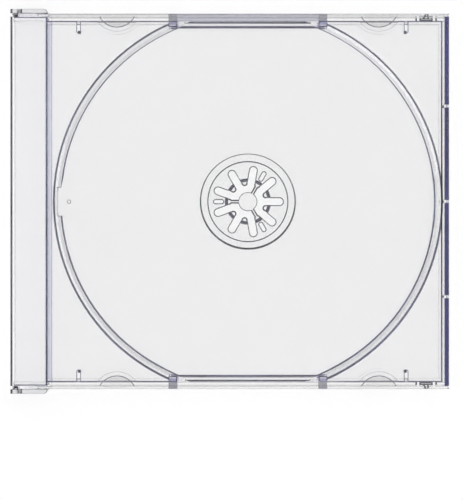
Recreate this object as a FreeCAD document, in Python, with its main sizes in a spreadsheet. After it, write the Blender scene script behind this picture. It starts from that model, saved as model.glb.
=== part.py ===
import FreeCAD, Part
import Sketcher
import os

# A clear CD case lying closed on its back: base, disc tray and hinged lid, each one moulding.
# X runs from the spine to the opening edge, Y along the spine and Z up through the lid.
# The origin is under the middle of the case. Lengths are in millimetres.

SIZES = (
    ("case_length", 142.5, "spine to opening edge"),
    ("case_width", 125, "along the spine, over the ears"),
    ("case_height", 10.4, "closed, over floor and lid"),
    ("floor_sheet", 1.2, "base floor thickness"),
    ("spine_wall", 1.05, "spine wall thickness"),
    ("opening_wall", 1.45, "wall at the opening edge, thickness"),
    ("lid_rest_gap", 0.2, "lid panel above the opening wall"),
    ("column_width", 12.05, "hinge column, spine to riser"),
    ("ear_wall", 1.4, "ear thickness"),
    ("ear_round", 1.3, "ear shoulder radius in plan"),
    ("side_gap", 0.15, "lid wall to ear and to base wall"),
    ("seat_gap", 0.15, "tray to the walls that hold it"),
    ("base_wall", 1.0, "base side wall thickness"),
    ("base_wall_top", 3.8, "base side wall height, below the disc"),
    ("latch_inset", 7.05, "latch tongue middle from the opening edge"),
    ("latch_length", 4.4, "latch tongue length"),
    ("latch_slit", 0.8, "slit beside the tongue"),
    ("latch_rise", 1.3, "latch bump, out of the base wall"),
    ("latch_foot", 2.4, "latch bump width at its root"),
    ("latch_nose", 1.0, "latch bump width at its tip"),
    ("latch_top", 3.2, "latch bump height"),
    ("latch_gap", 0.4, "lid notch around the bump"),
    ("hinge_x", 2.65, "pin axis from the spine face"),
    ("pin_radius", 0.9, "hinge pin"),
    ("pin_gap", 0.05, "running gap round the pin"),
    ("pin_length", 1.25, "pin out of the arm"),
    ("arm_radius", 2.2, "arm end round the pin"),
    ("arm_rise", 6.4, "pin axis to where the arm reaches full height"),
    ("lid_sheet", 1.2, "lid panel thickness"),
    ("lid_wall", 0.8, "lid side wall and arm thickness"),
    ("lid_lift", 0.3, "lid side wall above the base floor"),
    ("lid_gap", 1.3, "lid panel to column riser"),
    ("lid_edge_round", 0.4, "outer edge radius of the lid panel"),
    ("tab_offset", 42.7, "booklet tab middle from the disc axis"),
    ("tab_radius", 6.6, "booklet tab"),
    ("tab_depth", 3.4, "booklet tab, in from the lid wall"),
    ("tab_low", 5.4, "booklet tab underside height"),
    ("tab_sheet", 0.8, "booklet tab thickness"),
    ("tray_sheet", 1.0, "tray plate thickness"),
    ("tray_wall", 1.0, "tray skirt and column wall thickness"),
    ("tray_gap", 0.45, "tray to opening wall"),
    ("foot_gap", 0.05, "tray walls above the base floor"),
    ("deck_top", 6.2, "tray deck height"),
    ("recess_z", 3.2, "recess floor height"),
    ("recess_mouth", 63.2, "recess radius at the deck"),
    ("recess_slope", 2.0, "recess wall, in from the mouth to the floor"),
    ("deck_land", 1.9, "deck between the column riser and the recess"),
    ("lip_top", 3.8, "lip height where the recess meets the edge"),
    ("lip_width", 0.45, "lip width at its top"),
    ("lip_foot", 1.85, "lip width at its foot"),
    ("post_width", 2.9, "block that ends the deck beside a lip"),
    ("scallop_gap", 1.2, "scallop round a booklet tab"),
    ("scallop_low", 4.6, "scallop floor height"),
    ("slit_spine", 9.9, "deck slit from the column riser"),
    ("slit_opening", 11.85, "deck slit from the tray's opening edge"),
    ("slit_width", 1.0, "deck slit width"),
    ("slit_length", 3.85, "deck slit, in from the edge"),
    ("rib_pitch", 31.0, "locating rib spacing"),
    ("rib_width", 0.6, "locating rib width"),
    ("rib_reach", 0.9, "locating rib into the opening wall"),
    ("rib_low", 2.4, "locating rib underside height"),
    ("rib_rise", 1.2, "locating rib height"),
    ("thumb_width", 9.2, "thumb notch width"),
    ("thumb_depth", 0.9, "thumb notch into the recess wall"),
    ("gate_inset", 2.7, "gate mark, in from the recess floor's edge"),
    ("gate_radius", 0.65, "gate mark"),
    ("gate_rise", 0.25, "gate mark height"),
    ("seat_outer", 15.75, "disc seat ring outer radius"),
    ("seat_inner", 12.9, "disc seat ring inner radius"),
    ("seat_slope", 0.1, "seat ring flank"),
    ("seat_z", 4.0, "disc seat height"),
    ("disc_sheet", 1.2, "disc thickness"),
    ("crown_inner", 6.45, "crown inner radius"),
    ("crown_neck", 7.3, "crown radius inside the disc hole"),
    ("crown_bulge", 7.65, "crown radius at the snap bulge"),
    ("crown_bulge_rise", 0.6, "snap bulge above the disc"),
    ("crown_top", 6.9, "crown height"),
    ("crown_chamfer", 0.4, "crown top, in from the bulge"),
    ("finger_count", 9, "sprung fingers round the hub"),
    ("finger_slot", 2.3, "slot between fingers"),
    ("finger_slot_end", 11.5, "slot end, radius from the disc axis"),
    ("finger_tip", 6.2, "finger tip middle from the disc axis"),
    ("spoke_count", 3, "spokes that carry the boss"),
    ("spoke_width", 1.25, "spoke width"),
    ("spoke_slot", 1.1, "narrow slot in a spoke's finger"),
    ("spoke_slot_start", 8.0, "narrow slot start, radius from the disc axis"),
    ("spoke_slot_end", 11.1, "narrow slot end, radius from the disc axis"),
    ("boss_radius", 3.1, "hub boss"),
)

# Planes of the case, as expressions of the sheet
LEFT = "(-Sizes.case_length / 2)"
RIGHT = "(Sizes.case_length / 2)"
END = "(Sizes.case_width / 2)"
TOP = "Sizes.case_height"
FLOOR = "Sizes.floor_sheet"
RISER = f"({LEFT} + Sizes.column_width)"
EAR_INNER = f"({END} - Sizes.ear_wall)"
LID_OUTER = f"({EAR_INNER} - Sizes.side_gap)"
LID_INNER = f"({LID_OUTER} - Sizes.lid_wall)"
LID_LEFT = f"({RISER} + Sizes.lid_gap)"
LID_UNDER = f"({TOP} - Sizes.lid_sheet)"
LID_FOOT = f"({FLOOR} + Sizes.lid_lift)"
BASE_OUTER = f"({LID_INNER} - Sizes.side_gap)"
BASE_INNER = f"({BASE_OUTER} - Sizes.base_wall)"
OPENING_INNER = f"({RIGHT} - Sizes.opening_wall)"
OPENING_TOP = f"({LID_UNDER} - Sizes.lid_rest_gap)"
HINGE_X = f"({LEFT} + Sizes.hinge_x)"
HINGE_Z = f"({TOP} / 2)"
TAB_MIDDLE = f"({LID_INNER} - Sizes.tab_depth + Sizes.tab_radius)"
LATCH_X = f"({RIGHT} - Sizes.latch_inset)"
DISC_X = f"({RISER} + Sizes.deck_land + Sizes.recess_mouth)"

# Planes of the tray, whose own origin is on the disc axis
TRAY_EDGE = f"({BASE_INNER} - Sizes.seat_gap)"
TRAY_COLUMN_END = f"({BASE_OUTER} - Sizes.side_gap)"
TRAY_LEFT = f"({LEFT} + Sizes.spine_wall + Sizes.seat_gap - {DISC_X})"
TRAY_RISER = f"({RISER} - {DISC_X})"
TRAY_RIGHT = f"({OPENING_INNER} - Sizes.tray_gap - {DISC_X})"
TRAY_FOOT = f"({FLOOR} + Sizes.foot_gap)"
TRAY_UNDER = "(Sizes.recess_z - Sizes.tray_sheet)"
RECESS_FLOOR = "(Sizes.recess_mouth - Sizes.recess_slope)"
LIP_HALF = f"sqrt(max(Sizes.recess_mouth ^ 2 - {TRAY_EDGE} ^ 2; Sizes.post_width ^ 2))"
HALF_PITCH = "(180 / Sizes.finger_count)"

SIDES = ("1", "-1")
RIB_PLACES = ("-1", "0", "1")
PRECISION_STEPS = 1000


def value(expression):
    """The present value of a sheet expression."""
    return float(sheet.evalExpression(expression.replace("Sizes.", "")))


def make_sheet():
    """The driving dimensions, one aliased cell each."""
    cells = doc.addObject("Spreadsheet::Sheet", "Sizes")
    for row, (alias, number, note) in enumerate(SIZES, start=1):
        cells.set(f"A{row}", note)
        cells.set(f"B{row}", str(number))
        cells.setAlias(f"B{row}", alias)
    doc.recompute()
    return cells


def make_body(label):
    """An empty body that carries the name of its sub-part."""
    body = doc.addObject("PartDesign::Body", label)
    body.Label = label
    return body


def origin_feature(body, role):
    """One plane or axis of the body's own origin."""
    return next(item for item in body.Origin.OriginFeatures if item.Role == role)


def make_sketch(body, name, plane="XY_Plane", offset="0"):
    """A sketch on an origin plane, moved along the plane's normal."""
    sketch = body.newObject("Sketcher::SketchObject", name)
    sketch.AttachmentSupport = (origin_feature(body, plane), "")
    sketch.MapMode = "FlatFace"
    sketch.setExpression("AttachmentOffset.Base.z", offset)
    return sketch


def pin_point(sketch, geometry, point, kind, expression):
    """Hold one coordinate of a point at a sheet expression."""
    rule = Sketcher.Constraint(kind, -1, 1, geometry, point, value(expression))
    number = sketch.addConstraint(rule)
    sketch.setExpression(f"Constraints[{number}]", expression)


def draw_outline(sketch, corners, arcs=None):
    """A closed outline, drawn anticlockwise. arcs gives the middle of each round side."""
    arcs = arcs or {}
    first = sketch.GeometryCount
    count = len(corners)
    points = [FreeCAD.Vector(value(x), value(y), 0) for x, y in corners]
    for index, start in enumerate(points):
        end = points[(index + 1) % count]
        if index in arcs:
            kind, x, y = arcs[index]
            middle = FreeCAD.Vector(value(x), value(y), 0)
            sweep = [(point - middle).getAngle(FreeCAD.Vector(1, 0, 0)) for point in (start, end)]
            turn = [angle if point.y >= middle.y else -angle for angle, point in zip(sweep, (start, end))]
            ring = Part.Circle(middle, FreeCAD.Vector(0, 0, 1), (start - middle).Length)
            sketch.addGeometry(Part.ArcOfCircle(ring, turn[0], turn[1]), False)
        else:
            sketch.addGeometry(Part.LineSegment(start, end), False)
    for index, (x, y) in enumerate(corners):
        line = first + index
        before = first + (index - 1) % count
        sketch.addConstraint(Sketcher.Constraint("Coincident", before, 2, line, 1))
        pin_point(sketch, line, 1, "DistanceX", x)
        pin_point(sketch, line, 1, "DistanceY", y)
    for index, (kind, x, y) in arcs.items():
        pin_point(sketch, first + index, 3, kind, x if kind == "DistanceX" else y)


def draw_box(sketch, left, right, low, high):
    """A rectangle between four expressions."""
    draw_outline(sketch, [(left, low), (right, low), (right, high), (left, high)])


def draw_side_boxes(sketch, left, right, inner, outer):
    """The same rectangle at both ends of the case."""
    draw_box(sketch, left, right, inner, outer)
    draw_box(sketch, left, right, f"-{outer}", f"-{inner}")


def draw_circle(sketch, x, y, radius):
    """A circle with its middle and radius held by the sheet."""
    middle = FreeCAD.Vector(value(x), value(y), 0)
    ring = sketch.addGeometry(Part.Circle(middle, FreeCAD.Vector(0, 0, 1), value(radius)), False)
    pin_point(sketch, ring, 3, "DistanceX", x)
    pin_point(sketch, ring, 3, "DistanceY", y)
    number = sketch.addConstraint(Sketcher.Constraint("Radius", ring, value(radius)))
    sketch.setExpression(f"Constraints[{number}]", radius)


def settle(body, feature, grows):
    """Recompute and make sure that the feature added or removed material."""
    before = 0 if body.Shape.isNull() else body.Shape.Volume
    body.Tip = feature
    doc.recompute()
    change = body.Shape.Volume - before
    if (change > 0) != grows or change == 0:
        raise RuntimeError(f"{feature.Name} changed the volume by {change}")
    return feature


def pad(body, sketch, length, symmetric=False):
    """Add the sketch's area, along its normal or to both sides of it."""
    feature = body.newObject("PartDesign::Pad", f"{sketch.Name}_pad")
    feature.Profile = sketch
    feature.setExpression("Length", length)
    feature.Midplane = symmetric
    sketch.Visibility = False
    return settle(body, feature, True)


def pocket(body, sketch, length=None, upward=False, symmetric=False):
    """Cut the sketch's area, to a depth or through everything."""
    feature = body.newObject("PartDesign::Pocket", f"{sketch.Name}_pocket")
    feature.Profile = sketch
    feature.Reversed = upward
    feature.Midplane = symmetric
    if length is None:
        feature.Type = "ThroughAll"
    else:
        feature.setExpression("Length", length)
    sketch.Visibility = False
    return settle(body, feature, False)


def turned(body, sketch, kind):
    """Revolve the sketch's area about the body's Z axis, adding or cutting it."""
    feature = body.newObject(f"PartDesign::{kind}", f"{sketch.Name}_turned")
    feature.Profile = sketch
    feature.ReferenceAxis = (origin_feature(body, "Z_Axis"), [""])
    feature.Angle = 360
    sketch.Visibility = False
    return settle(body, feature, kind == "Revolution")


def around(body, feature, count, grows):
    """Repeat a feature evenly about the body's Z axis."""
    pattern = body.newObject("PartDesign::PolarPattern", f"{feature.Name}_ring")
    pattern.Originals = [feature]
    pattern.Axis = (origin_feature(body, "Z_Axis"), [""])
    pattern.Angle = 360
    pattern.setExpression("Occurrences", count)
    return settle(body, pattern, grows)


def round_edges(body, name, radius, chosen):
    """Fillet the edges of the tip that a test picks out."""
    tip = body.Tip
    names = [f"Edge{number}" for number, edge in enumerate(tip.Shape.Edges, start=1) if chosen(edge.BoundBox)]
    feature = body.newObject("PartDesign::Fillet", name)
    feature.Base = (tip, names)
    feature.setExpression("Radius", radius)
    return settle(body, feature, False)


def near(first, second):
    """Equal within the model's working precision."""
    return abs(first - second) < Part.Precision.confusion() * PRECISION_STEPS


def make_base():
    """Back cover: floor, spine, ears, opening wall, and side walls with latch tongues."""
    body = make_body("base")

    plan = make_sketch(body, "base_floor")
    draw_outline(plan, [
        (LEFT, f"-{END}"), (RISER, f"-{END}"), (RISER, f"-{LID_OUTER}"), (RIGHT, f"-{LID_OUTER}"),
        (RIGHT, LID_OUTER), (RISER, LID_OUTER), (RISER, END), (LEFT, END),
    ])
    pad(body, plan, FLOOR)

    spine = make_sketch(body, "base_spine")
    draw_box(spine, LEFT, f"{LEFT} + Sizes.spine_wall", f"-{BASE_OUTER}", BASE_OUTER)
    draw_side_boxes(spine, LEFT, RISER, EAR_INNER, END)
    pad(body, spine, TOP)

    opening = make_sketch(body, "base_opening_wall")
    draw_box(opening, OPENING_INNER, RIGHT, f"-{BASE_OUTER}", BASE_OUTER)
    pad(body, opening, OPENING_TOP)

    walls = make_sketch(body, "base_side_walls")
    draw_side_boxes(walls, RISER, RIGHT, BASE_INNER, BASE_OUTER)
    pad(body, walls, "Sizes.base_wall_top")

    slits = make_sketch(body, "base_latch_slits", offset="Sizes.base_wall_top")
    for side in SIDES:
        middle = f"{LATCH_X} + {side} * (Sizes.latch_length + Sizes.latch_slit) / 2"
        left = f"{middle} - Sizes.latch_slit / 2"
        right = f"{middle} + Sizes.latch_slit / 2"
        draw_side_boxes(slits, left, right, BASE_INNER, BASE_OUTER)
    pocket(body, slits, f"Sizes.base_wall_top - {FLOOR}")

    bumps = make_sketch(body, "base_latch_bumps", offset=FLOOR)
    root = f"({BASE_OUTER} - Sizes.base_wall / 2)"
    nose = f"({BASE_OUTER} + Sizes.latch_rise)"
    foot_left = f"{LATCH_X} - Sizes.latch_foot / 2"
    foot_right = f"{LATCH_X} + Sizes.latch_foot / 2"
    nose_left = f"{LATCH_X} - Sizes.latch_nose / 2"
    nose_right = f"{LATCH_X} + Sizes.latch_nose / 2"
    draw_outline(bumps, [(foot_left, root), (foot_right, root), (nose_right, nose), (nose_left, nose)])
    draw_outline(bumps, [
        (nose_left, f"-{nose}"), (nose_right, f"-{nose}"), (foot_right, f"-{root}"), (foot_left, f"-{root}"),
    ])
    pad(body, bumps, f"Sizes.latch_top - {FLOOR}")

    holes = make_sketch(body, "base_pin_holes", "XZ_Plane")
    draw_circle(holes, HINGE_X, HINGE_Z, "Sizes.pin_radius + Sizes.pin_gap")
    pocket(body, holes, symmetric=True)

    notches = make_sketch(body, "base_rib_notches", "YZ_Plane", RIGHT)
    half = "(Sizes.rib_width / 2 + Sizes.seat_gap)"
    for place in RIB_PLACES:
        middle = f"{place} * Sizes.rib_pitch"
        low = "Sizes.rib_low - Sizes.seat_gap"
        draw_box(notches, f"{middle} - {half}", f"{middle} + {half}", low, OPENING_TOP)
    pocket(body, notches, "Sizes.opening_wall")

    riser = value(RISER)
    end = value(END)

    def shoulder(box):
        at_riser = near(box.XMin, riser) and near(box.XMax, riser)
        at_end = near(box.YLength, 0) and near(max(abs(box.YMin), abs(box.YMax)), end)
        return at_riser and at_end

    round_edges(body, "base_shoulders", "Sizes.ear_round", shoulder)
    return body


def make_tray():
    """Disc tray: deck and skirt, sloped recess, hinge column, and the hub that grips the disc."""
    body = make_body("tray")
    body.setExpression("Placement.Base.x", DISC_X)

    deck = make_sketch(body, "tray_deck", offset=TRAY_FOOT)
    draw_box(deck, TRAY_RISER, TRAY_RIGHT, f"-{TRAY_EDGE}", TRAY_EDGE)
    pad(body, deck, f"Sizes.deck_top - {TRAY_FOOT}")

    cavity = make_sketch(body, "tray_cavity", offset=TRAY_FOOT)
    inner = f"({TRAY_EDGE} - Sizes.tray_wall)"
    draw_box(cavity, TRAY_RISER, f"{TRAY_RIGHT} - Sizes.tray_wall", f"-{inner}", inner)
    pocket(body, cavity, f"Sizes.deck_top - Sizes.tray_sheet - {TRAY_FOOT}", upward=True)

    bowl = make_sketch(body, "tray_bowl", "XZ_Plane")
    draw_outline(bowl, [
        ("0", TRAY_UNDER), (f"{RECESS_FLOOR} + Sizes.tray_wall", TRAY_UNDER),
        ("Sizes.recess_mouth + Sizes.tray_wall", "Sizes.deck_top"), ("0", "Sizes.deck_top"),
    ])
    turned(body, bowl, "Revolution")

    cups = make_sketch(body, "tray_scallop_cups", offset="Sizes.scallop_low - Sizes.tray_sheet")
    cup_radius = "(Sizes.tab_radius + Sizes.scallop_gap)"
    for side in SIDES:
        for end in SIDES:
            middle = f"{end} * {TAB_MIDDLE}"
            draw_circle(cups, f"{side} * Sizes.tab_offset", middle, f"{cup_radius} + Sizes.tray_wall")
    pad(body, cups, "Sizes.deck_top - Sizes.scallop_low + Sizes.tray_sheet")

    trim = make_sketch(body, "tray_trim", offset="Sizes.deck_top")
    draw_box(trim, "-Sizes.case_length", "Sizes.case_length", "-Sizes.case_width", "Sizes.case_width")
    draw_box(trim, TRAY_RISER, TRAY_RIGHT, f"-{TRAY_EDGE}", TRAY_EDGE)
    pocket(body, trim)

    recess = make_sketch(body, "tray_recess", "XZ_Plane")
    draw_outline(recess, [
        ("0", "Sizes.recess_z"), (RECESS_FLOOR, "Sizes.recess_z"),
        ("Sizes.recess_mouth", "Sizes.deck_top"), ("Sizes.recess_mouth", TOP), ("0", TOP),
    ])
    turned(body, recess, "Groove")

    scallops = make_sketch(body, "tray_scallops", offset="Sizes.deck_top")
    for side in SIDES:
        for end in SIDES:
            draw_circle(scallops, f"{side} * Sizes.tab_offset", f"{end} * {TAB_MIDDLE}", cup_radius)
    pocket(body, scallops, "Sizes.deck_top - Sizes.scallop_low")

    lips = make_sketch(body, "tray_lips", "YZ_Plane")
    lip_top = f"({TRAY_EDGE} - Sizes.lip_width)"
    lip_foot = f"({TRAY_EDGE} - Sizes.lip_foot)"
    draw_outline(lips, [
        (lip_foot, TRAY_UNDER), (TRAY_EDGE, TRAY_UNDER), (TRAY_EDGE, "Sizes.lip_top"),
        (lip_top, "Sizes.lip_top"), (lip_foot, "Sizes.recess_z"),
    ])
    draw_outline(lips, [
        (f"-{TRAY_EDGE}", TRAY_UNDER), (f"-{lip_foot}", TRAY_UNDER), (f"-{lip_foot}", "Sizes.recess_z"),
        (f"-{lip_top}", "Sizes.lip_top"), (f"-{TRAY_EDGE}", "Sizes.lip_top"),
    ])
    pad(body, lips, f"2 * {LIP_HALF}", symmetric=True)

    posts = make_sketch(body, "tray_posts", offset=TRAY_UNDER)
    post_end = f"({LIP_HALF} + Sizes.post_width)"
    draw_side_boxes(posts, LIP_HALF, post_end, lip_foot, TRAY_EDGE)
    draw_side_boxes(posts, f"-{post_end}", f"-{LIP_HALF}", lip_foot, TRAY_EDGE)
    pad(body, posts, f"Sizes.deck_top - {TRAY_UNDER}")

    slits = make_sketch(body, "tray_slits", offset="Sizes.deck_top")
    reach = f"({TRAY_EDGE} - Sizes.slit_length + Sizes.slit_width / 2)"
    for place in (f"({TRAY_RISER} + Sizes.slit_spine)", f"({TRAY_RIGHT} - Sizes.slit_opening)"):
        left = f"{place} - Sizes.slit_width / 2"
        right = f"{place} + Sizes.slit_width / 2"
        draw_outline(
            slits, [(left, reach), (right, reach), (right, BASE_OUTER), (left, BASE_OUTER)],
            {0: ("DistanceY", place, reach)},
        )
        draw_outline(slits, [
            (right, f"-{reach}"), (left, f"-{reach}"), (left, f"-{BASE_OUTER}"), (right, f"-{BASE_OUTER}"),
        ], {0: ("DistanceY", place, f"-{reach}")})
    pocket(body, slits, "Sizes.deck_top - Sizes.lip_top")

    ribs = make_sketch(body, "tray_ribs", offset="Sizes.rib_low")
    for place in RIB_PLACES:
        middle = f"{place} * Sizes.rib_pitch"
        left = f"{TRAY_RIGHT} - Sizes.tray_wall / 2"
        right = f"{OPENING_INNER} - {DISC_X} + Sizes.rib_reach"
        draw_box(ribs, left, right, f"{middle} - Sizes.rib_width / 2", f"{middle} + Sizes.rib_width / 2")
    pad(body, ribs, "Sizes.rib_rise")

    thumb = make_sketch(body, "tray_thumb_notch", offset="Sizes.deck_top")
    draw_box(
        thumb, f"-{RECESS_FLOOR} - Sizes.thumb_depth", f"-{RECESS_FLOOR} + Sizes.thumb_width / 2",
        "-Sizes.thumb_width / 2", "Sizes.thumb_width / 2",
    )
    pocket(body, thumb, "Sizes.deck_top - Sizes.recess_z")

    column = make_sketch(body, "tray_column", offset=TRAY_FOOT)
    draw_box(column, TRAY_LEFT, TRAY_RISER, f"-{TRAY_COLUMN_END}", TRAY_COLUMN_END)
    pad(body, column, f"{TOP} - {TRAY_FOOT}")

    hollow = make_sketch(body, "tray_column_hollow", offset=TRAY_FOOT)
    hollow_end = f"({TRAY_COLUMN_END} - Sizes.tray_wall)"
    draw_box(hollow, TRAY_LEFT, f"{TRAY_RISER} - Sizes.tray_wall", f"-{hollow_end}", hollow_end)
    pocket(body, hollow, f"{TOP} - Sizes.tray_sheet - {TRAY_FOOT}", upward=True)

    gate = make_sketch(body, "tray_gate_mark", offset="Sizes.recess_z")
    draw_circle(gate, f"-({RECESS_FLOOR} - Sizes.gate_inset)", "0", "Sizes.gate_radius")
    pad(body, gate, "Sizes.gate_rise")

    make_hub(body)
    return body


def make_hub(body):
    """Seat ring, sprung fingers with their crown, and the boss on its spokes."""
    seat = make_sketch(body, "hub_seat", "XZ_Plane")
    draw_outline(seat, [
        ("Sizes.seat_inner", TRAY_UNDER), ("Sizes.seat_outer", TRAY_UNDER),
        ("Sizes.seat_outer", "Sizes.recess_z"), ("Sizes.seat_outer - Sizes.seat_slope", "Sizes.seat_z"),
        ("Sizes.seat_inner", "Sizes.seat_z"),
    ])
    turned(body, seat, "Revolution")

    crown = make_sketch(body, "hub_crown", "XZ_Plane")
    disc_top = "Sizes.seat_z + Sizes.disc_sheet"
    draw_outline(crown, [
        ("Sizes.crown_inner", TRAY_UNDER), ("Sizes.crown_neck", TRAY_UNDER), ("Sizes.crown_neck", disc_top),
        ("Sizes.crown_bulge", f"{disc_top} + Sizes.crown_bulge_rise"),
        ("Sizes.crown_bulge - Sizes.crown_chamfer", "Sizes.crown_top"),
        ("Sizes.crown_inner", "Sizes.crown_top"),
    ])
    turned(body, crown, "Revolution")

    middle = make_sketch(body, "hub_opening", offset="Sizes.recess_z")
    draw_circle(middle, "0", "0", "Sizes.finger_tip")
    pocket(body, middle)

    slot = make_sketch(body, "hub_finger_slot", offset=TOP)
    half = "Sizes.finger_slot / 2"
    start = "Sizes.finger_tip / 2"
    end = f"Sizes.finger_slot_end - {half}"
    draw_outline(
        slot, [(start, f"-{half}"), (end, f"-{half}"), (end, half), (start, half)],
        {1: ("DistanceX", end, "0")},
    )
    around(body, pocket(body, slot), "Sizes.finger_count", False)

    tip = make_sketch(body, "hub_finger_tip", offset=TRAY_UNDER)
    tip_x = f"Sizes.finger_tip * cos({HALF_PITCH})"
    tip_y = f"Sizes.finger_tip * sin({HALF_PITCH})"
    tip_round = f"({tip_y} - {half}) / cos({HALF_PITCH})"
    draw_circle(tip, tip_x, tip_y, tip_round)
    around(body, pad(body, tip, "Sizes.tray_sheet"), "Sizes.finger_count", True)

    narrow = make_sketch(body, "hub_spoke_slot", offset="Sizes.recess_z")
    half = "Sizes.spoke_slot / 2"
    start = f"-Sizes.spoke_slot_start - {half}"
    end = f"-Sizes.spoke_slot_end + {half}"
    draw_outline(
        narrow, [(start, half), (end, half), (end, f"-{half}"), (start, f"-{half}")],
        {1: ("DistanceX", end, "0"), 3: ("DistanceX", start, "0")},
    )
    around(body, pocket(body, narrow), "Sizes.spoke_count", False)

    spoke = make_sketch(body, "hub_spoke", offset=TRAY_UNDER)
    draw_box(spoke, "-Sizes.crown_inner", "0", "-Sizes.spoke_width / 2", "Sizes.spoke_width / 2")
    around(body, pad(body, spoke, "Sizes.tray_sheet"), "Sizes.spoke_count", True)

    boss = make_sketch(body, "hub_boss", offset=TRAY_UNDER)
    draw_circle(boss, "0", "0", "Sizes.boss_radius")
    pad(body, boss, "Sizes.tray_sheet")


def make_lid():
    """Front cover: panel, side walls that run into the hinge arms, pins and booklet tabs."""
    body = make_body("lid")

    panel = make_sketch(body, "lid_panel", offset=LID_UNDER)
    draw_box(panel, LID_LEFT, RIGHT, f"-{LID_OUTER}", LID_OUTER)
    pad(body, panel, "Sizes.lid_sheet")

    walls = make_sketch(body, "lid_side_walls", offset=LID_FOOT)
    draw_side_boxes(walls, LID_LEFT, RIGHT, LID_INNER, LID_OUTER)
    pad(body, walls, f"{TOP} - {LID_FOOT}")

    arm_low = f"({HINGE_Z} - Sizes.arm_radius)"
    arm_high = f"({HINGE_Z} + Sizes.arm_radius)"
    arm_root = f"({LID_LEFT} + Sizes.lid_wall)"
    for name, arm_offset, pin_offset in (
        ("lower", LID_INNER, LID_OUTER),
        ("upper", f"-{LID_OUTER}", f"-({LID_OUTER} + Sizes.pin_length)"),
    ):
        arm = make_sketch(body, f"lid_{name}_arm", "XZ_Plane", arm_offset)
        draw_outline(arm, [
            (HINGE_X, arm_high), (HINGE_X, arm_low), (arm_root, arm_low),
            (arm_root, TOP), (f"{HINGE_X} + Sizes.arm_rise", TOP),
        ], {0: ("DistanceX", HINGE_X, HINGE_Z)})
        pad(body, arm, "Sizes.lid_wall")
        pin = make_sketch(body, f"lid_{name}_pin", "XZ_Plane", pin_offset)
        draw_circle(pin, HINGE_X, HINGE_Z, "Sizes.pin_radius")
        pad(body, pin, "Sizes.pin_length")

    tabs = make_sketch(body, "lid_tabs", offset="Sizes.tab_low")
    chord = f"({LID_INNER} + Sizes.lid_wall / 2)"
    half = f"sqrt(Sizes.tab_radius ^ 2 - ({TAB_MIDDLE} - {chord}) ^ 2)"
    for side in SIDES:
        middle = f"({DISC_X} + {side} * Sizes.tab_offset)"
        left = f"{middle} - {half}"
        right = f"{middle} + {half}"
        draw_outline(tabs, [(right, chord), (left, chord)], {1: ("DistanceY", middle, TAB_MIDDLE)})
        draw_outline(
            tabs, [(left, f"-{chord}"), (right, f"-{chord}")], {1: ("DistanceY", middle, f"-{TAB_MIDDLE}")},
        )
    pad(body, tabs, "Sizes.tab_sheet")

    notches = make_sketch(body, "lid_latch_notches", offset=LID_FOOT)
    half = "(Sizes.latch_foot / 2 + Sizes.latch_gap)"
    draw_side_boxes(notches, f"{LATCH_X} - {half}", f"{LATCH_X} + {half}", LID_INNER, LID_OUTER)
    pocket(body, notches, f"Sizes.latch_top + Sizes.latch_gap - {LID_FOOT}", upward=True)

    top = value(TOP)
    right = value(RIGHT)
    outer = value(LID_OUTER)

    def rim(box):
        level = near(box.ZMin, top) and near(box.ZMax, top)
        at_right = near(box.XMin, right) and near(box.XMax, right)
        at_side = near(box.YLength, 0) and near(max(abs(box.YMin), abs(box.YMax)), outer)
        return level and (at_right or at_side)

    round_edges(body, "lid_rim", "Sizes.lid_edge_round", rim)
    return body


def check_model(bodies):
    """Stop if anything failed to compute or a sub-part is not one sound solid."""
    for item in doc.Objects:
        if "Invalid" in item.State or "Error" in item.State:
            raise RuntimeError(f"{item.Name} did not compute: {item.State}")
    for body in bodies:
        shape = body.Shape
        if shape.isNull() or not shape.isValid() or len(shape.Solids) != 1:
            raise RuntimeError(f"{body.Label} is not one valid solid")


doc = FreeCAD.newDocument("cd_case")
sheet = make_sheet()
pieces = [make_base(), make_tray(), make_lid()]
check_model(pieces)
os.makedirs("parts", exist_ok=True)
for piece in pieces:
    piece.Shape.exportStep(f"parts/{piece.Label}.step")
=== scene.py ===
from collections import namedtuple
from itertools import combinations
from math import cos, radians

import bmesh
import bpy
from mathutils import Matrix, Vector


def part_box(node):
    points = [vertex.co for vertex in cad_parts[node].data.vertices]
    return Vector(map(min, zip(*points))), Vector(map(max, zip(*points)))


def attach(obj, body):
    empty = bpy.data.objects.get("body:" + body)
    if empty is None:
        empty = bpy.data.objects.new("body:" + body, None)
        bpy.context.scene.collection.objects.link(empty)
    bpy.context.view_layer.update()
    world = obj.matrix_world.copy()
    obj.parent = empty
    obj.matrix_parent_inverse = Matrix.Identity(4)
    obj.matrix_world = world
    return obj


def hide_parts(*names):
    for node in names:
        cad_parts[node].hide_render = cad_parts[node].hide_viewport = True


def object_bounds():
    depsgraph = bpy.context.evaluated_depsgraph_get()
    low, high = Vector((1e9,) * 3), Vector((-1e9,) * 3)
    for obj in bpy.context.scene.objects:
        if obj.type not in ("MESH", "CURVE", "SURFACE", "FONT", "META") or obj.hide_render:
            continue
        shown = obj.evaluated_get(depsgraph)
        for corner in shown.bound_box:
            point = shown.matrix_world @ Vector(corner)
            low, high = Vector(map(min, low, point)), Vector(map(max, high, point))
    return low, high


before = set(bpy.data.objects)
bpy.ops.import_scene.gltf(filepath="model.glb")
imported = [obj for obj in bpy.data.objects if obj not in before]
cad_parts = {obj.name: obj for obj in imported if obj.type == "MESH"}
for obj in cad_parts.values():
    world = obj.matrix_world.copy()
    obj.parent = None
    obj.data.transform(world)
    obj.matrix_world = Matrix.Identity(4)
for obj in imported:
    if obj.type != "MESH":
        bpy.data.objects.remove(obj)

MM = 0.001
CAD_BOX = [list(corner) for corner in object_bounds()]

# The body that each moulding rides on
BODY = {"base": "base", "tray": "base", "lid": "lid"}

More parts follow.
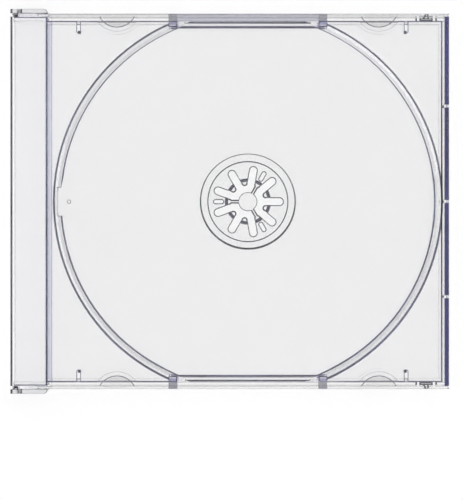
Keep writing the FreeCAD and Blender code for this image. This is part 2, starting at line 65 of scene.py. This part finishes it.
# The photograph's frame, in pixels, and where the case's middle lies in it
IMAGE_LONG_SIDE = 500
IMAGE_CENTRE = (231.5, 250.0)
CASE_MIDDLE = (229.8, 201.3)
PIXELS_PER_MM = 3.08
CAMERA_HEIGHT = 900 * MM
SENSOR_WIDTH = 36.0

# Clear polystyrene and its tint, the painted shade laid on some of its places, and the tint of lamp light
# that passes through it
IOR = 1.59
SHEET_TINT = (0.999, 0.999, 0.999)
# Painted shade: dark navy on the top of the opening wall, grey on the ears and the hinge arms, a little
# darker on the column, dark slate on the hub's crown, faint lavender on sloped faces
OPENING_PAINTED_SHADE = (0.0005, 0.0005, 0.011)
EAR_PAINTED_SHADE = (0.62, 0.62, 0.64)
COLUMN_PAINTED_SHADE = (0.905, 0.905, 0.912)
CROWN_PAINTED_SHADE = (0.025, 0.025, 0.06)
SLOPE_PAINTED_SHADE = (0.975, 0.975, 1.0)
ARM_PAINTED_SHADE = (0.8, 0.8, 0.83)
SHADOW_TINT = (0.985, 0.985, 0.99)

# Painted shade in patches, where a wall, a block or a pin is seen into end on
FOOT_PAINTED_SHADE = (0.7, 0.7, 0.79)
POST_PAINTED_SHADE = (0.42, 0.42, 0.6)
POST_WALL_PAINTED_SHADE = (0.4, 0.4, 0.45)
FAR_WALL_PAINTED_SHADE = (0.62, 0.62, 0.7)
SLIT_PAINTED_SHADE = (0.03, 0.03, 0.05)
RIB_PAINTED_SHADE = (0.002, 0.002, 0.004)
PIN_PAINTED_SHADE = (0.002, 0.002, 0.004)

# Rounded edges: their full width, the painted shade that darkens them and how that painted shade fades
# along their length
EDGE_WIDTH = {"base": 0.7 * MM, "tray": 0.6 * MM, "lid": 0.25 * MM}
EDGE_PAINTED_SHADE = {"base": (0.004, 0.004, 0.006), "tray": (0.01, 0.01, 0.024), "lid": (0.03, 0.03, 0.05)}
HUB_EDGE_PAINTED_SHADE = (0.004, 0.004, 0.006)
OPENING_EDGE_PAINTED_SHADE = (0.002, 0.002, 0.02)
EDGE_ROUGHNESS = 0.12
EDGE_PALE = 4.0
DRIFT_SCALE = 30
DRIFT_DETAIL = 2
DRIFT_RANGE = (0.45, 0.7)

# The wave and the haze of moulded sheet
WAVE_SCALE = 45
WAVE_DETAIL = 1
WAVE_STRENGTH = 0.03
WAVE_HEIGHT = 0.1 * MM
HAZE_SCALE = 160
HAZE_DETAIL = 6
HAZE_RANGE = (0.35, 0.8)
HAZE_ROUGHNESS = 0.05

# Places on the mouldings where the finish or the edge changes
SPINE_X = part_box("base")[0][0]
SPINE_INNER_X = -70.2 * MM
COLUMN_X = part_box("tray")[0][0]
SHOULDER_X = -60.6 * MM
RISER_X = -59.2 * MM
LID_X = -57.9 * MM
TRAY_RIGHT_X = 69.35 * MM
OPENING_X = 69.75 * MM
SIDE_WALL_Y = 58.95 * MM
EAR_Y = 61.05 * MM
NOTCH_Z = 2.4 * MM
CROWN_Z = 4 * MM
DECK_Z = 6.2 * MM
TAB_Z = 7 * MM
RIB_X = 69.6 * MM
RIB_HALF = 0.2 * MM
PIN_X = -69.4 * MM
PIN_HALF = 0.45 * MM
LATCH_X = 64.2 * MM
LATCH_HALF = 3.1 * MM
SLITS_X = (-49.3 * MM, 57.5 * MM)
SLIT_HALF = 0.5 * MM
SLIT_END_Y = 55.55 * MM
NEAR = 0.06 * MM

# Places given from the disc axis in plan: radii, the thumb notch, the booklet tabs and the deck posts
DISC_AXIS = Vector((5.9 * MM, 0))
BOSS = 3.1 * MM
CROWN_INNER = 6.45 * MM
CROWN_OUTER = 7.8 * MM
SEAT_INNER = 12.9 * MM
SEAT_OUTER = 15.65 * MM
HUB_HALF = 16.5 * MM
RECESS_FLOOR = 61.2 * MM
RECESS_MOUTH = 63.2 * MM
THUMB_REACH = 56 * MM
THUMB_HALF = 4.8 * MM
SCALLOP = 7.8 * MM
SCALLOP_PLACE = Vector((42.7 * MM, 63.35 * MM))
POST_X = 24.5 * MM
POST_HALF_X = 1.45 * MM
POST_Y = 58.75 * MM
POST_HALF_Y = 1.1 * MM

# How a solid's edges are softened
WELD = 0.002 * MM
FLAT_ANGLE = radians(0.5)
SOFT_ANGLE = radians(20)
SHARP_ANGLE = radians(25)
UPWARD = 0.3
LEVEL = 0.95
NARROW_SHARE = 0.45
SPINE_SHARE = 0.7
RUN_ON_ANGLE = radians(60)
RUN_ON_SHARE = 0.5
SAME_SHARE = 0.0001
EDGE_SEGMENTS = 2
EDGE_SLOT = 1
NORMAL_WEIGHT = 100

# How wide an edge and its painted shade show, as a share of its moulding's full width
BASE_BOLD = {"spine": 1.0, "spine_inner": 0.0, "shoulder": 0.85, "latch": 0.77, "wall": 0.13, "rest": 0.4}
TRAY_BOLD = {
    "ends": 0.0,
    "right": 0.8,
    "slit": 0.4,
    "riser": 1.0,
    "scallop": 0.15,
    "thumb": 0.3,
    "mouth": 0.65,
    "floor": 0.4,
    "seat": 0.65,
    "boss": 0.35,
    "spokes": 0.75,
    "fingers": 0.5,
    "rest": 0.6,
}
LID_BOLD = {"tab": 1.0, "rest": 0.3}

# How much of that share a circle loses on its far side, or gains towards its left and right, so that its
# painted shade is heavier on the near side and at the sides
MOUTH_FAR = 0.1
FLOOR_FAR = 0.2
FLOOR_ASIDE = 0.15
SEAT_FAR = 0.3

# The room
FLOOR_SIZE = 6
FLOOR_Z = -0.05 * MM
FLOOR_PAINT = (0.6, 0.6, 0.6)
FLOOR_GLOW = 0.46
HORIZON_TONE = (0.3, 0.3, 0.32)
HIGH = 0.7
HIGH_TONE = (0.6, 0.6, 0.6)
OVERHEAD = 0.97
OVERHEAD_TONE = (0.4, 0.4, 0.4)
KEY_PLACE = (-0.8, -0.5, 1.8)
FILL_PLACE = (0.8, 0.5, 1.8)
LAMP_SIZE = 1.2
LAMP_POWER = 11

Plan = namedtuple("Plan", "x y off_x off_y")


def node(tree, kind, **settings):
    """A shader node with its properties set."""
    made = tree.nodes.new(kind)
    for name, value in settings.items():
        setattr(made, name, value)
    return made


def noise(tree, scale, detail):
    """Noise fixed to the object, as a socket."""
    where = node(tree, "ShaderNodeTexCoord")
    made = node(tree, "ShaderNodeTexNoise")
    made.inputs["Scale"].default_value = scale
    made.inputs["Detail"].default_value = detail
    tree.links.new(where.outputs["Object"], made.inputs["Vector"])
    return made.outputs["Fac"]


def spread(tree, value, limits, top):
    """A socket's value between two limits, spread over 0 to top."""
    made = node(tree, "ShaderNodeMapRange")
    made.inputs["From Min"].default_value = limits[0]
    made.inputs["From Max"].default_value = limits[1]
    made.inputs["To Max"].default_value = top
    tree.links.new(value, made.inputs["Value"])
    return made.outputs["Result"]


def moulding_ripple(tree, plastic):
    """A long faint wave in the surface, and gloss that varies a little, as on moulded sheet."""
    bump = node(tree, "ShaderNodeBump")
    bump.inputs["Strength"].default_value = WAVE_STRENGTH
    bump.inputs["Distance"].default_value = WAVE_HEIGHT
    tree.links.new(noise(tree, WAVE_SCALE, WAVE_DETAIL), bump.inputs["Height"])
    tree.links.new(bump.outputs["Normal"], plastic.inputs["Normal"])
    haze = noise(tree, HAZE_SCALE, HAZE_DETAIL)
    tree.links.new(spread(tree, haze, HAZE_RANGE, HAZE_ROUGHNESS), plastic.inputs["Roughness"])


def clear_plastic(name, tint):
    """Polished clear polystyrene; lamps shine through it to what lies under it."""
    material = bpy.data.materials.new(name)
    material.use_nodes = True
    tree = material.node_tree
    tree.nodes.clear()
    plastic = node(tree, "ShaderNodeBsdfPrincipled")
    plastic.inputs["Base Color"].default_value = (*tint, 1)
    plastic.inputs["Roughness"].default_value = EDGE_ROUGHNESS
    plastic.inputs["IOR"].default_value = IOR
    plastic.inputs["Transmission Weight"].default_value = 1.0
    through = node(tree, "ShaderNodeBsdfTransparent")
    through.inputs["Color"].default_value = (*SHADOW_TINT, 1)
    path = node(tree, "ShaderNodeLightPath")
    mix = node(tree, "ShaderNodeMixShader")
    output = node(tree, "ShaderNodeOutputMaterial")
    tree.links.new(path.outputs["Is Shadow Ray"], mix.inputs["Fac"])
    tree.links.new(plastic.outputs["BSDF"], mix.inputs[1])
    tree.links.new(through.outputs["BSDF"], mix.inputs[2])
    tree.links.new(mix.outputs["Shader"], output.inputs["Surface"])
    return material, tree, plastic


def from_disc(place):
    """Distance from the disc axis in plan."""
    return (place.xy - DISC_AXIS).length


def from_scallop(place):
    """Distance from the middle of the nearest booklet tab in plan."""
    mirrored = Vector((abs(place.x - DISC_AXIS.x), abs(place.y)))
    return (mirrored - SCALLOP_PLACE).length


def in_thumb_notch(place):
    """Whether a place is at the thumb notch, at the left of the recess wall."""
    return place.x < DISC_AXIS.x - THUMB_REACH and abs(place.y) < THUMB_HALF


def at_slit(place):
    """Whether a place is on the outline of one of the deck's slits."""
    beside = any(abs(place.x - slit) < SLIT_HALF + NEAR for slit in SLITS_X)
    return beside and abs(place.y) > SLIT_END_Y - SLIT_HALF - NEAR


def base_boldness(place):
    """How wide the base's edges and their painted shade show: bold along the spine, at the ear shoulders
    and at the latches.
    """
    if place.x < SPINE_X + NEAR:
        return BASE_BOLD["spine"]
    if abs(place.x - SPINE_INNER_X) < NEAR:
        return BASE_BOLD["spine_inner"]
    if abs(place.y) > EAR_Y and place.x > SHOULDER_X:
        return BASE_BOLD["shoulder"]
    if abs(place.y) > EAR_Y:
        return BASE_BOLD["wall"]
    if abs(place.y) > SIDE_WALL_Y and abs(place.x - LATCH_X) < LATCH_HALF:
        return BASE_BOLD["latch"]
    if abs(place.y) > SIDE_WALL_Y:
        return BASE_BOLD["wall"]
    return BASE_BOLD["rest"]


def tray_boldness(place):
    """The same for the tray: boldest at the column riser, and bolder on the near side of each circle, so
    its painted shade is heavier there.
    """
    reach = from_disc(place)
    away = place.y / max(reach, NEAR)
    aside = abs(place.x - DISC_AXIS.x) / max(reach, NEAR)
    if place.x < COLUMN_X + NEAR or place.x > TRAY_RIGHT_X + NEAR:
        return TRAY_BOLD["ends"]
    if place.x > TRAY_RIGHT_X - NEAR:
        return TRAY_BOLD["right"]
    if at_slit(place):
        return TRAY_BOLD["slit"]
    if abs(place.x - RISER_X) < NEAR and place.z > DECK_Z + NEAR:
        return TRAY_BOLD["riser"]
    if abs(from_scallop(place) - SCALLOP) < NEAR:
        return TRAY_BOLD["scallop"]
    if in_thumb_notch(place) and place.z < DECK_Z - NEAR:
        return TRAY_BOLD["thumb"]
    if abs(reach - RECESS_MOUTH) < NEAR:
        return TRAY_BOLD["mouth"] - MOUTH_FAR * away
    if abs(reach - RECESS_FLOOR) < NEAR:
        return TRAY_BOLD["floor"] + FLOOR_ASIDE * aside - FLOOR_FAR * away
    if abs(reach - SEAT_OUTER) < NEAR:
        return TRAY_BOLD["seat"] - SEAT_FAR * away
    if reach < BOSS + NEAR:
        return TRAY_BOLD["boss"]
    if reach < CROWN_INNER:
        return TRAY_BOLD["spokes"]
    if reach < SEAT_INNER - NEAR:
        return TRAY_BOLD["fingers"]
    return TRAY_BOLD["rest"]


def lid_boldness(place):
    """The same for the lid: only the booklet tabs show much."""
    return LID_BOLD["tab"] if place.z < TAB_Z else LID_BOLD["rest"]


BOLDNESS = {"base": base_boldness, "tray": tray_boldness, "lid": lid_boldness}


def edge_share(name, edge):
    """Share of the full rounding that an upper edge takes: less beside a narrow face.

    An edge that slopes takes none, except at the thumb notch.
    """
    upper = [face for face in edge.link_faces if face.normal.z > UPWARD]
    needed = 1 if edge.is_convex else 2
    if len(upper) < needed or edge.calc_face_angle() < SOFT_ANGLE:
        return 0.0
    start, end = (vert.co for vert in edge.verts)
    middle = (start + end) / 2
    if abs(start.z - end.z) > NEAR and not in_thumb_notch(middle):
        return 0.0
    along = (end - start).normalized()
    reach = min(max((vert.co - start).cross(along).length for vert in face.verts) for face in upper)
    room = SPINE_SHARE if middle.x < SPINE_X + NEAR else NARROW_SHARE
    return min(BOLDNESS[name](middle), room * reach / EDGE_WIDTH[name])


def even_out(form, shares, width):
    """Narrow each rounding that runs on into a narrower one, so that the two meet within their edges."""
    joins = []
    for vert in form.verts:
        soft = [edge for edge in vert.link_edges if shares[edge] > 0]
        for pair in combinations(soft, 2):
            one, other = ((edge.other_vert(vert).co - vert.co).normalized() for edge in pair)
            if one.dot(other) < -cos(RUN_ON_ANGLE):
                shorter = min(edge.calc_length() for edge in pair)
                step = RUN_ON_SHARE * shorter * one.cross(other).length / width
                joins += [(*pair, step), (*reversed(pair), step)]
    settled = False
    while not settled:
        settled = True
        for wide, narrow, step in joins:
            if shares[wide] > shares[narrow] + step + SAME_SHARE:
                shares[wide] = shares[narrow] + step
                settled = False


def base_sheet_or_shade(face):
    """Ears and the top of the opening wall are seen into end on, and take painted shade of their own."""
    middle = face.calc_center_median()
    if middle.x > OPENING_X and middle.z > NOTCH_Z and face.normal.z > UPWARD:
        return "opening"
    if abs(middle.y) > EAR_Y and middle.z > NOTCH_Z:
        return "ear"
    return "sheet"


def tray_sheet_or_shade(face):
    """The column, the hub's crown and the sloped faces take painted shade that the flat sheet doesn't."""
    if face.calc_center_median().x < RISER_X:
        return "column"
    if all(vert.co.z > CROWN_Z and from_disc(vert.co) < CROWN_OUTER for vert in face.verts):
        return "crown"
    if UPWARD < face.normal.z < LEVEL:
        return "slope"
    return "sheet"


def lid_sheet_or_shade(face):
    """The hinge arms are seen into end on, and take painted shade."""
    return "arm" if face.calc_center_median().x < LID_X else "sheet"


SHEET_OR_SHADE = {"base": base_sheet_or_shade, "tray": tray_sheet_or_shade, "lid": lid_sheet_or_shade}
# Painted shade for each of those places
PAINTED_SHADES = {
    "base": {"opening": OPENING_PAINTED_SHADE, "ear": EAR_PAINTED_SHADE},
    "tray": {"column": COLUMN_PAINTED_SHADE, "crown": CROWN_PAINTED_SHADE, "slope": SLOPE_PAINTED_SHADE},
    "lid": {"arm": ARM_PAINTED_SHADE},
}

# Places whose painted shade comes and goes
UNEVEN = ("edge", "opening")


def sheet_and_shades(name):
    """A moulding's clear sheet, its painted-shade edge and its places of painted shade, in the order of
    its material slots, with the edge at EDGE_SLOT.
    """
    return ["sheet", "edge", *PAINTED_SHADES[name]]


def soften(name):
    """The solid's own form with its upper edges rounded to narrow strips, which take the edge's painted
    shade.
    """
    form = bmesh.new()
    form.from_mesh(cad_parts[name].data)
    bmesh.ops.remove_doubles(form, verts=form.verts, dist=WELD)
    bmesh.ops.dissolve_limit(form, angle_limit=FLAT_ANGLE, verts=form.verts, edges=form.edges)
    form.normal_update()
    share = form.edges.layers.float.new("bevel_weight_edge")
    shares = {edge: edge_share(name, edge) for edge in form.edges}
    even_out(form, shares, EDGE_WIDTH[name])
    order = sheet_and_shades(name)
    for edge in form.edges:
        edge[share] = shares[edge]
        edge.smooth = edge.calc_face_angle() < SHARP_ANGLE
    # Each face takes the clear sheet or the painted shade of its place
    for face in form.faces:
        face.smooth = True
        face.material_index = order.index(SHEET_OR_SHADE[name](face))
    mesh = bpy.data.meshes.new(f"{name}_moulding")
    form.to_mesh(mesh)
    form.free()
    if "custom_normal" in mesh.attributes:
        mesh.attributes.remove(mesh.attributes["custom_normal"])

    piece = bpy.data.objects.new(f"{name}_moulding", mesh)
    bpy.context.scene.collection.objects.link(piece)
    bevel = piece.modifiers.new("edge", "BEVEL")
    bevel.limit_method = "WEIGHT"
    bevel.width = EDGE_WIDTH[name]
    bevel.segments = EDGE_SEGMENTS
    bevel.use_clamp_overlap = False
    # The rounded strips take the edge's painted shade
    bevel.material = EDGE_SLOT
    shading = piece.modifiers.new("shading", "WEIGHTED_NORMAL")
    shading.mode = "FACE_AREA"
    shading.weight = NORMAL_WEIGHT
    shading.keep_sharp = True
    return piece


def within(tree, coordinate, middle, half):
    """1 where a coordinate is no further than half from the middle."""
    test = node(tree, "ShaderNodeMath", operation="COMPARE")
    test.inputs[1].default_value = middle
    test.inputs[2].default_value = half
    tree.links.new(coordinate, test.inputs[0])
    return test.outputs[0]


def combine(tree, operation, first, second):
    """Two sockets through one Math node; the second may be a number."""
    step = node(tree, "ShaderNodeMath", operation=operation)
    tree.links.new(first, step.inputs[0])
    if isinstance(second, float):
        step.inputs[1].default_value = second
    else:
        tree.links.new(second, step.inputs[1])
    return step.outputs[0]


def plan_coordinates(tree):
    """X and Y as sockets, and how far each is off the disc axis, without sign."""
    where = node(tree, "ShaderNodeTexCoord")
    split = node(tree, "ShaderNodeSeparateXYZ")
    tree.links.new(where.outputs["Object"], split.inputs[0])
    x, y = split.outputs["X"], split.outputs["Y"]
    off_x = combine(tree, "ABSOLUTE", combine(tree, "SUBTRACT", x, DISC_AXIS.x), 0.0)
    off_y = combine(tree, "ABSOLUTE", y, 0.0)
    return Plan(x, y, off_x, off_y)


def base_painted_shade(tree):
    """Painted shade: grey on the side walls beside the posts and along the far one, dark under each slit's
    closed end.
    """
    plan = plan_coordinates(tree)
    between_posts = within(tree, plan.off_x, 0.0, POST_X - POST_HALF_X)
    far_wall = combine(tree, "GREATER_THAN", plan.y, SIDE_WALL_Y)
    beside_post = within(tree, plan.off_x, POST_X, POST_HALF_X)
    either_wall = combine(tree, "GREATER_THAN", plan.off_y, SIDE_WALL_Y)
    slit_end = within(tree, plan.off_y, SLIT_END_Y, SLIT_HALF)
    shade_patches = [
        (combine(tree, "MULTIPLY", between_posts, far_wall), FAR_WALL_PAINTED_SHADE),
        (combine(tree, "MULTIPLY", beside_post, either_wall), POST_WALL_PAINTED_SHADE),
    ]
    for slit in SLITS_X:
        by_x = within(tree, plan.x, slit, SLIT_HALF)
        shade_patches.append((combine(tree, "MULTIPLY", by_x, slit_end), SLIT_PAINTED_SHADE))
    return shade_patches


def tray_painted_shade(tree):
    """Painted shade on the riser's foot, the deck posts and the rib roots."""
    plan = plan_coordinates(tree)
    foot = within(tree, plan.x, (RISER_X + LID_X) / 2, (LID_X - RISER_X) / 2)
    post_by_x = within(tree, plan.off_x, POST_X, POST_HALF_X)
    post_by_y = within(tree, plan.off_y, POST_Y, POST_HALF_Y)
    post = combine(tree, "MULTIPLY", post_by_x, post_by_y)
    rib = within(tree, plan.x, RIB_X, RIB_HALF)
    return [(foot, FOOT_PAINTED_SHADE), (post, POST_PAINTED_SHADE), (rib, RIB_PAINTED_SHADE)]


def arm_painted_shade(tree):
    """The arm is thickest where it carries the hinge pin; a near-black painted shade lies across it there.
    """
    plan = plan_coordinates(tree)
    return [(within(tree, plan.x, PIN_X, PIN_HALF), PIN_PAINTED_SHADE)]


def base_edge_painted_shade(tree):
    """Edges beside the opening take its dark navy painted shade."""
    plan = plan_coordinates(tree)
    return [(combine(tree, "GREATER_THAN", plan.x, TRAY_RIGHT_X), OPENING_EDGE_PAINTED_SHADE)]


def tray_edge_painted_shade(tree):
    """Edges of the hub have darker painted shade than the rest."""
    plan = plan_coordinates(tree)
    by_x = within(tree, plan.off_x, 0.0, HUB_HALF)
    by_y = within(tree, plan.off_y, 0.0, HUB_HALF)
    return [(combine(tree, "MULTIPLY", by_x, by_y), HUB_EDGE_PAINTED_SHADE)]


PAINTED_SHADE_PATCHES = {
    "base_sheet": base_painted_shade,
    "tray_sheet": tray_painted_shade,
    "lid_arm": arm_painted_shade,
    "base_edge": base_edge_painted_shade,
    "tray_edge": tray_edge_painted_shade,
}


def uneven_painted_shade(tree, tint):
    """Painted shade that pales and darkens with noise along an edge's length, standing in for the room's
    light that the edge picks up.
    """
    drift = noise(tree, DRIFT_SCALE, DRIFT_DETAIL)
    blend = node(tree, "ShaderNodeMix", data_type="RGBA")
    blend.inputs["A"].default_value = (*tint, 1)
    blend.inputs["B"].default_value = (*(EDGE_PALE * part for part in tint), 1)
    tree.links.new(spread(tree, drift, DRIFT_RANGE, 1.0), blend.inputs["Factor"])
    return blend.outputs["Result"]


def lay_colour(tree, plastic, tint, colour, shade_patches):
    """Lay patches of painted shade, each a mask and a tint, over the plain tint or over a colour made by
    nodes.
    """
    for mask, tone in shade_patches:
        blend = node(tree, "ShaderNodeMix", data_type="RGBA")
        blend.inputs["A"].default_value = (*tint, 1)
        blend.inputs["B"].default_value = (*tone, 1)
        tree.links.new(mask, blend.inputs["Factor"])
        if colour:
            tree.links.new(colour, blend.inputs["A"])
        colour = blend.outputs["Result"]
    if colour:
        tree.links.new(colour, plastic.inputs["Base Color"])


def make_moulding(name):
    """One moulding with its clear sheet and its painted shade, standing for its CAD node."""
    piece = soften(name)
    tints = {"sheet": SHEET_TINT, "edge": EDGE_PAINTED_SHADE[name], **PAINTED_SHADES[name]}
    for finish in sheet_and_shades(name):
        tint = tints[finish]
        material, tree, plastic = clear_plastic(f"{name}_{finish}", tint)
        colour = uneven_painted_shade(tree, tint) if finish in UNEVEN else None
        if finish != "edge":
            moulding_ripple(tree, plastic)
        shade_patches = PAINTED_SHADE_PATCHES[material.name](tree) if material.name in PAINTED_SHADE_PATCHES else []
        lay_colour(tree, plastic, tint, colour, shade_patches)
        piece.data.materials.append(material)
    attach(piece, BODY[name])
    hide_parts(name)


def floor_material():
    """Plain white, lifted to a white background for rays that look at it."""
    material = bpy.data.materials.new("floor")
    material.use_nodes = True
    tree = material.node_tree
    tree.nodes.clear()
    paint = node(tree, "ShaderNodeBsdfDiffuse")
    paint.inputs["Color"].default_value = (*FLOOR_PAINT, 1)
    glow = node(tree, "ShaderNodeEmission")
    glow.inputs["Color"].default_value = (1, 1, 1, 1)
    path = node(tree, "ShaderNodeLightPath")
    seen = node(tree, "ShaderNodeMath", operation="ADD", use_clamp=True)
    seen_through = node(tree, "ShaderNodeMath", operation="ADD", use_clamp=True)
    both = node(tree, "ShaderNodeAddShader")
    output = node(tree, "ShaderNodeOutputMaterial")
    tree.links.new(path.outputs["Is Camera Ray"], seen.inputs[0])
    tree.links.new(path.outputs["Is Glossy Ray"], seen.inputs[1])
    tree.links.new(seen.outputs[0], seen_through.inputs[0])
    tree.links.new(path.outputs["Is Transmission Ray"], seen_through.inputs[1])
    lift = combine(tree, "MULTIPLY", seen_through.outputs[0], FLOOR_GLOW)
    tree.links.new(lift, glow.inputs["Strength"])
    tree.links.new(paint.outputs["BSDF"], both.inputs[0])
    tree.links.new(glow.outputs["Emission"], both.inputs[1])
    tree.links.new(both.outputs["Shader"], output.inputs["Surface"])
    return material


def add_floor():
    """The plain surface that the case lies on."""
    bpy.ops.mesh.primitive_plane_add(size=FLOOR_SIZE, location=(0, 0, FLOOR_Z))
    floor = bpy.context.object
    floor.name = "floor"
    floor.data.materials.append(floor_material())


def add_world():
    """Soft light from above that falls off to a dim horizon, which the plastic's edges pick up."""
    world = bpy.data.worlds.new("studio")
    bpy.context.scene.world = world
    world.use_nodes = True
    tree = world.node_tree
    tree.nodes.clear()
    where = node(tree, "ShaderNodeTexCoord")
    split = node(tree, "ShaderNodeSeparateXYZ")
    ramp = node(tree, "ShaderNodeValToRGB")
    stops = ramp.color_ramp.elements
    stops[0].position = 0.0
    stops[0].color = (*HORIZON_TONE, 1)
    stops[1].position = HIGH
    stops[1].color = (*HIGH_TONE, 1)
    overhead = stops.new(OVERHEAD)
    overhead.color = (*OVERHEAD_TONE, 1)
    sky = node(tree, "ShaderNodeBackground")
    output = node(tree, "ShaderNodeOutputWorld")
    tree.links.new(where.outputs["Generated"], split.inputs[0])
    tree.links.new(split.outputs["Z"], ramp.inputs["Fac"])
    tree.links.new(ramp.outputs["Color"], sky.inputs["Color"])
    tree.links.new(sky.outputs["Background"], output.inputs["Surface"])


def add_light(name, place):
    """A soft box aimed at the case."""
    lamp = bpy.data.lights.new(name, "AREA")
    lamp.shape = "SQUARE"
    lamp.size = LAMP_SIZE
    lamp.energy = LAMP_POWER
    holder = bpy.data.objects.new(name, lamp)
    bpy.context.scene.collection.objects.link(holder)
    holder.location = place
    holder.rotation_euler = holder.location.to_track_quat("Z", "Y").to_euler()


def add_camera():
    """Looking straight down on the lid, framed as in the photograph."""
    camera = bpy.data.cameras.new("camera")
    camera.sensor_width = SENSOR_WIDTH
    camera.lens = PIXELS_PER_MM / MM * SENSOR_WIDTH / IMAGE_LONG_SIDE * CAMERA_HEIGHT
    holder = bpy.data.objects.new("camera", camera)
    bpy.context.scene.collection.objects.link(holder)
    x = (IMAGE_CENTRE[0] - CASE_MIDDLE[0]) / PIXELS_PER_MM * MM
    y = (CASE_MIDDLE[1] - IMAGE_CENTRE[1]) / PIXELS_PER_MM * MM
    top = CAD_BOX[1][2]
    holder.location = (x, y, top + CAMERA_HEIGHT)
    bpy.context.scene.camera = holder


for name in BODY:
    make_moulding(name)
add_floor()
add_world()
add_light("key", KEY_PLACE)
add_light("fill", FILL_PLACE)
add_camera()
bpy.context.scene.view_settings.view_transform = "Standard"
